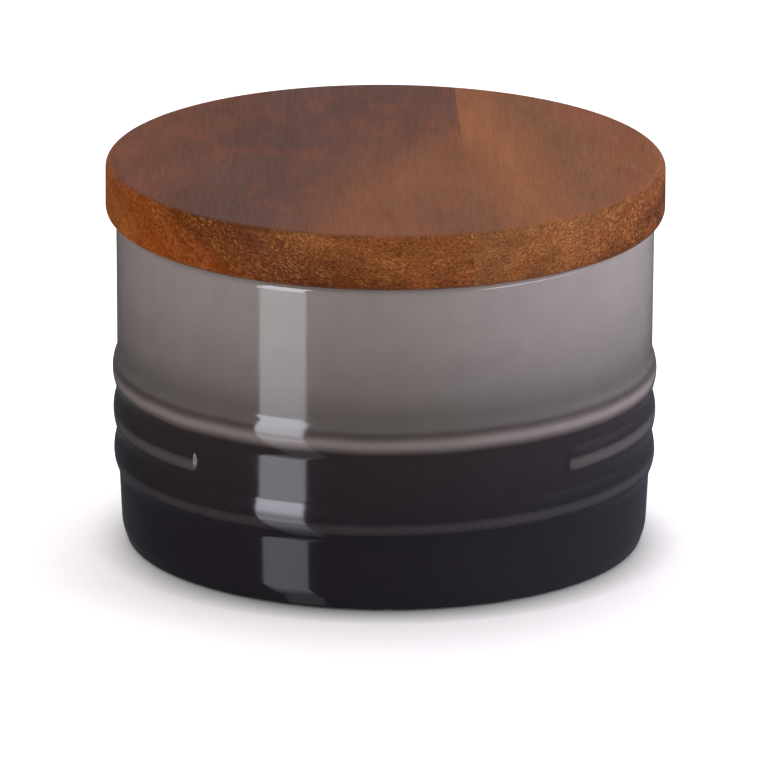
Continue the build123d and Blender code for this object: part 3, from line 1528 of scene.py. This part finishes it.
@dataclass(frozen=True)
class Softbox:
    """A tall narrow softbox left of the camera, which draws the bright stripe down the glaze."""

    azimuth: float = -42.7
    distance: float = 0.6
    half_width: float = 0.109
    bottom: float = -0.9
    top: float = 0.6
    strength: float = 14.0
    tint: str = "#f1f3ff"
    # Heights, and how bright the cloth is there
    levels: tuple[tuple[float, float], ...] = (
        (-0.90, 0.4),
        (-0.50, 0.6),
        (-0.30, 1.9),
        (-0.235, 1.8),
        (-0.22, 1.9),
        (-0.205, 2.6),
        (-0.17, 4.2),
        (-0.14, 4.0),
        (-0.09, 3.6),
        (-0.05, 5.0),
        (0.00, 8.0),
        (0.10, 9.0),
        (0.36, 9.5),
        (0.45, 14.0),
    )

    def build(self) -> None:
        """Stand the softbox up, so that it shows in reflections alone."""
        turn = math.radians(self.azimuth)
        away = Vector((math.sin(turn), -math.cos(turn), 0.0)) * self.distance
        across = Vector((math.cos(turn), math.sin(turn), 0.0)) * self.half_width
        bpy.ops.object.select_all(action="DESELECT")
        bpy.ops.mesh.primitive_plane_add(size=1.0)
        box = bpy.context.active_object
        box.name = "tall_softbox"
        for vertex in box.data.vertices:
            side, level = math.copysign(1.0, vertex.co.x), vertex.co.y
            height = self.top if level > 0 else self.bottom
            vertex.co = away + across * side + Vector((0.0, 0.0, height))
        box.data.materials.append(self._cloth())
        box.visible_camera = False
        box.visible_diffuse = False
        box.visible_shadow = False

    def _cloth(self) -> Material:
        """Return the lit cloth, brighter towards the top.

        Returns:
            The finished material.
        """
        material = bpy.data.materials.new("softbox_cloth")
        material.use_nodes = True
        tree = material.node_tree
        tree.nodes.clear()
        place = add_node(tree, "TexCoord").outputs["Object"]
        height = add_node(tree, "SeparateXYZ", {0: place}).outputs["Z"]
        share = add_node(
            tree, "MapRange", {0: height, 1: self.bottom, 2: self.top, 3: 0.0, 4: 1.0}
        ).outputs[0]
        reach = self.top - self.bottom
        stops = [
            ((height_of_level - self.bottom) / reach, level / self.strength)
            for height_of_level, level in self.levels
        ]
        glow = add_node(tree, "ValToRGB", {0: share}, stops=stops).outputs["Color"]
        cool = add_node(
            tree, "VectorMath", {0: glow, 1: linear(self.tint)[:3]}, operation="MULTIPLY"
        ).outputs[0]
        light = add_node(tree, "Emission", {"Color": cool, "Strength": self.strength}).outputs[0]
        add_node(tree, "OutputMaterial", {"Surface": light})
        material.cycles.emission_sampling = "NONE"
        return material


@dataclass
class Studio:
    """The floor, the lamps and the room that the jar is shown in, and its camera."""

    floor_size: float = 24.0
    # How light the paper is for the jar, and how light it is where it is seen straight
    floor_colour: float = 0.7
    paper_tint: str = "#fffafb"
    floor_seen: float = 1.6
    # The camera also sees it glow, with the painted contact shade in that glow: in part near the
    # jar, and alone from the second distance on
    floor_glow: float = 1.3
    glow_share: float = 0.45
    glow_span: Span = (0.6, 2.0)
    # The painted contact shade, drawn from occlusion round the jar, leans to the back by this
    # angle, and has a near and a far part
    shade_softness: float = 0.85
    shade_lean: float = 46.0
    shade_samples: int = 16
    near_reach: float = 0.008
    far_reach: float = 0.045
    near_share: float = 0.45
    # Strength of the room's light from each side, and where one gives way to the next
    room_tint: str = "#ebf3ff"
    room_front: float = 0.1
    room_back: float = 0.42
    room_top: float = 0.3
    room_low_left: float = 0.05
    room_low_right: float = 0.13
    room_back_azimuth: float = 150.0
    room_side_span: Span = (-0.3, 0.9)
    room_skyline_span: Span = (-0.12, 0.15)
    room_top_span: Span = (0.4, 0.9)
    # The camera's place, with its pitch and roll in radians, and its lens in millimetres
    camera_distance: float = 2.3625
    camera_height: float = 0.7494
    camera_pitch: float = 0.2959
    camera_roll: float = 0.0048
    camera_side: float = -0.0001
    nearest_seen: float = 0.5
    farthest_seen: float = 60.0
    lens: float = 614.72
    sensor: float = 36.0
    # Name, azimuth, elevation, distance, width, height and watts
    lamps: tuple[Lamp, ...] = (
        Lamp("key_right", 88.0, 6.5, 1.5, 1.0, 0.3, 36.0, tint="#eff1ff"),
        Lamp("fill_left", -40.0, 6.5, 1.5, 1.0, 0.3, 14.5, tint="#fffbf8"),
        Lamp("overhead", 0.0, 89.0, 1.5, 1.3, 1.3, 8.0),
        Lamp("back_wash", 180.0, 45.0, 1.5, 1.2, 1.2, 8.0),
        Lamp("rim_strip", 72.0, 30.5, 1.2, 1.1, 0.18, 5.5, mirrored=True, lights_matt=False),
    )

    def build(self) -> None:
        """Set up the whole studio."""
        bpy.context.scene.view_settings.view_transform = "Standard"
        self._floor()
        self._room()
        for lamp in self.lamps:
            lamp.hang()
        Softbox().build()
        self._camera()

    def _floor(self) -> None:
        """Lay a plain pale floor, white behind the jar, with its shadow and a painted contact
        shade.
        """
        bpy.ops.object.select_all(action="DESELECT")
        bpy.ops.mesh.primitive_plane_add(size=self.floor_size)
        floor = bpy.context.active_object
        floor.name = "studio_floor"
        material = bpy.data.materials.new("floor_paper")
        material.use_nodes = True
        tree = material.node_tree
        tree.nodes.clear()
        seen = add_node(tree, "LightPath")
        straight = add_node(
            tree,
            "Math",
            {0: seen.outputs["Is Camera Ray"], 1: seen.outputs["Is Glossy Ray"]},
            operation="MAXIMUM",
        ).outputs[0]
        seen_at_all = add_node(
            tree, "Math", {0: straight, 1: seen.outputs["Is Transmission Ray"]}, operation="MAXIMUM"
        ).outputs[0]
        lean = math.radians(self.shade_lean)
        leaning = add_node(tree, "CombineXYZ", {1: math.sin(lean), 2: math.cos(lean)}).outputs[0]
        near, far = (
            add_node(
                tree,
                "AmbientOcclusion",
                {"Distance": reach, "Normal": leaning},
                samples=self.shade_samples,
            ).outputs["AO"]
            for reach in (self.near_reach, self.far_reach)
        )
        # Painted shade: occlusion round the jar darkens the paper and its glow where the camera
        # sees them
        openness = add_node(
            tree, "Mix", {0: self.near_share, 2: far, 3: near}, data_type="FLOAT"
        ).outputs[0]
        closed = (1.0 - math.sin(lean)) / 2.0
        open_share = add_node(tree, "MapRange", {0: openness, 1: closed, 2: 1.0}).outputs[0]
        painted_shade_level = add_node(
            tree, "Math", {0: open_share, 1: self.shade_softness}, operation="POWER"
        ).outputs[0]
        contact = add_node(
            tree, "Math", {0: painted_shade_level, 1: self.floor_seen}, operation="MULTIPLY"
        ).outputs[0]
        white = add_node(
            tree, "Mix", {0: seen_at_all, 2: self.floor_colour, 3: contact}, data_type="FLOAT"
        ).outputs[0]
        tinted = add_node(
            tree, "VectorMath", {0: linear(self.paper_tint)[:3], "Scale": white}, operation="SCALE"
        ).outputs[0]
        paper = add_node(tree, "BsdfDiffuse", {"Color": tinted}).outputs[0]
        painted_shade_colour = add_node(
            tree,
            "VectorMath",
            {0: linear(self.paper_tint)[:3], "Scale": painted_shade_level},
            operation="SCALE",
        ).outputs[0]
        glow = add_node(tree, "Emission", {"Color": painted_shade_colour, "Strength": self.floor_glow}).outputs[0]
        place = add_node(tree, "TexCoord").outputs["Object"]
        away = add_node(tree, "VectorMath", {0: place}, operation="LENGTH").outputs["Value"]
        share = add_node(
            tree,
            "MapRange",
            {0: away, 1: self.glow_span[0], 2: self.glow_span[1], 3: self.glow_share, 4: 1.0},
        ).outputs[0]
        to_camera = add_node(
            tree, "Math", {0: share, 1: seen.outputs["Is Camera Ray"]}, operation="MULTIPLY"
        ).outputs[0]
        surface = add_node(tree, "MixShader", {0: to_camera, 1: paper, 2: glow}).outputs[0]
        add_node(tree, "OutputMaterial", {"Surface": surface})
        material.cycles.emission_sampling = "NONE"
        floor.data.materials.append(material)
        # If the glaze mirrored the floor, its dark foot would turn pale
        floor.visible_glossy = False

    def _room(self) -> None:
        """Surround the jar with a dim room, paler behind and at the right, white to the camera."""
        world = bpy.data.worlds.new("studio_room")
        bpy.context.scene.world = world
        world.use_nodes = True
        tree = world.node_tree
        tree.nodes.clear()
        direction = add_node(tree, "TexCoord").outputs["Generated"]
        split = add_node(tree, "SeparateXYZ", {0: direction})
        azimuth = math.radians(self.room_back_azimuth)
        back_right = (math.sin(azimuth), -math.cos(azimuth), 0.0)
        towards = add_node(
            tree, "VectorMath", {0: direction, 1: back_right}, operation="DOT_PRODUCT"
        ).outputs["Value"]
        side = add_node(
            tree,
            "MapRange",
            {
                0: towards,
                1: self.room_side_span[0],
                2: self.room_side_span[1],
                3: self.room_front,
                4: self.room_back,
            },
            interpolation_type="SMOOTHSTEP",
        ).outputs[0]
        low = add_node(
            tree,
            "MapRange",
            {0: split.outputs["X"], 1: -1.0, 2: 1.0, 3: self.room_low_left, 4: self.room_low_right},
        ).outputs[0]
        above = add_node(
            tree,
            "MapRange",
            {0: split.outputs["Z"], 1: self.room_skyline_span[0], 2: self.room_skyline_span[1]},
            interpolation_type="SMOOTHSTEP",
        ).outputs[0]
        overhead = add_node(
            tree,
            "MapRange",
            {0: split.outputs["Z"], 1: self.room_top_span[0], 2: self.room_top_span[1]},
        ).outputs[0]
        walls = add_node(tree, "Mix", {0: above, 2: low, 3: side}, data_type="FLOAT").outputs[0]
        level = add_node(
            tree, "Mix", {0: overhead, 2: walls, 3: self.room_top}, data_type="FLOAT"
        ).outputs[0]
        sky = add_node(
            tree, "Background", {"Color": linear(self.room_tint), "Strength": level}
        ).outputs[0]
        white = add_node(
            tree, "Background", {"Color": linear("#ffffff"), "Strength": 1.0}
        ).outputs[0]
        seen = add_node(tree, "LightPath").outputs["Is Camera Ray"]
        backdrop = add_node(tree, "MixShader", {0: seen, 1: sky, 2: white}).outputs[0]
        add_node(tree, "OutputWorld", {"Surface": backdrop})

    def _camera(self) -> None:
        """Set the long lens where the photograph was taken from."""
        camera = bpy.data.cameras.new("camera")
        camera.lens = self.lens
        camera.sensor_width = self.sensor
        camera.clip_start = self.nearest_seen
        camera.clip_end = self.farthest_seen
        holder = bpy.data.objects.new("camera", camera)
        bpy.context.scene.collection.objects.link(holder)
        tilt = Matrix.Rotation(math.pi / 2 - self.camera_pitch, 4, "X")
        roll = Matrix.Rotation(self.camera_roll, 4, "Z")
        spot = Matrix.Translation((self.camera_side, -self.camera_distance, self.camera_height))
        holder.matrix_world = spot @ tilt @ roll
        bpy.context.scene.camera = holder


def wide_board_wood() -> OiledAcacia:
    """Return the wide board's wood: red brown, with a grey brown zone left of the middle.

    Returns:
        The board's finish.
    """
    return OiledAcacia(
        name="acacia_oiled_wide_board",
        pith=(15.0, 135.6),
        # The top's colours, each with a little painted sheen
        face_zones_with_sheen=(
            (58.0, "#7f4b32"),
            (62.5, "#844e30"),
            (64.5, "#72442f"),
            (67.5, "#653f31"),
            (72.0, "#613e32"),
            (76.0, "#623e31"),
            (81.0, "#683e2c"),
            (88.0, "#72412c"),
        ),
        end_zones=(
            (61.0, "#72401f"),
            (65.5, "#723f1f"),
            (68.0, "#603112"),
            (72.5, "#502305"),
            (78.0, "#5c2905"),
            (81.0, "#743405"),
            (87.0, "#7d3602"),
            (94.0, "#87450c"),
        ),
    )


def narrow_board_wood() -> OiledAcacia:
    """Return the narrow board's wood: an orange band at the joint, then redder with a golden swirl.

    Returns:
        The board's finish.
    """
    return OiledAcacia(
        name="acacia_oiled_narrow_board",
        pith=(5.0, 118.0),
        patch=(41.0, -6.0, 20.0),
        face_zones_with_sheen=(
            # The top's colours, each with a little painted sheen
            (42.0, "#7e4f36"),
            (44.5, "#8b5230"),
            (47.5, "#955930"),
            (50.0, "#8f5531"),
            (53.0, "#825133"),
            (57.0, "#895032"),
            (65.0, "#8a4f2e"),
            (69.0, "#5c3220"),
        ),
        end_zones=(
            (44.0, "#744729"),
            (52.0, "#704324"),
            (56.0, "#6b3e22"),
            (60.0, "#63361b"),
            (64.0, "#582c16"),
            (68.0, "#441e0e"),
        ),
    )


def main() -> None:
    """Build the jar, its lid and its seal, light them and report each piece."""
    logging.basicConfig(level=logging.INFO, format="%(name)s: %(message)s", stream=sys.stdout)
    left_board = LidBoard(name="lid_left_board", slot="lid_wood_wide", board=Board.WIDE)
    right_board = LidBoard(name="lid_right_board", slot="lid_wood_narrow", board=Board.NARROW)
    pieces = [
        StonewareJar().build(OmbreGlaze().build()),
        left_board.build(wide_board_wood().build()),
        right_board.build(narrow_board_wood().build()),
        SiliconeSeal().build(MilkySilicone().build()),
    ]
    Studio().build()
    for piece in pieces:
        finish = piece.data.materials[0].name
        LOG.info("%s: %d faces, %s", piece.name, len(piece.data.polygons), finish)


if __name__ == "__main__":
    main()
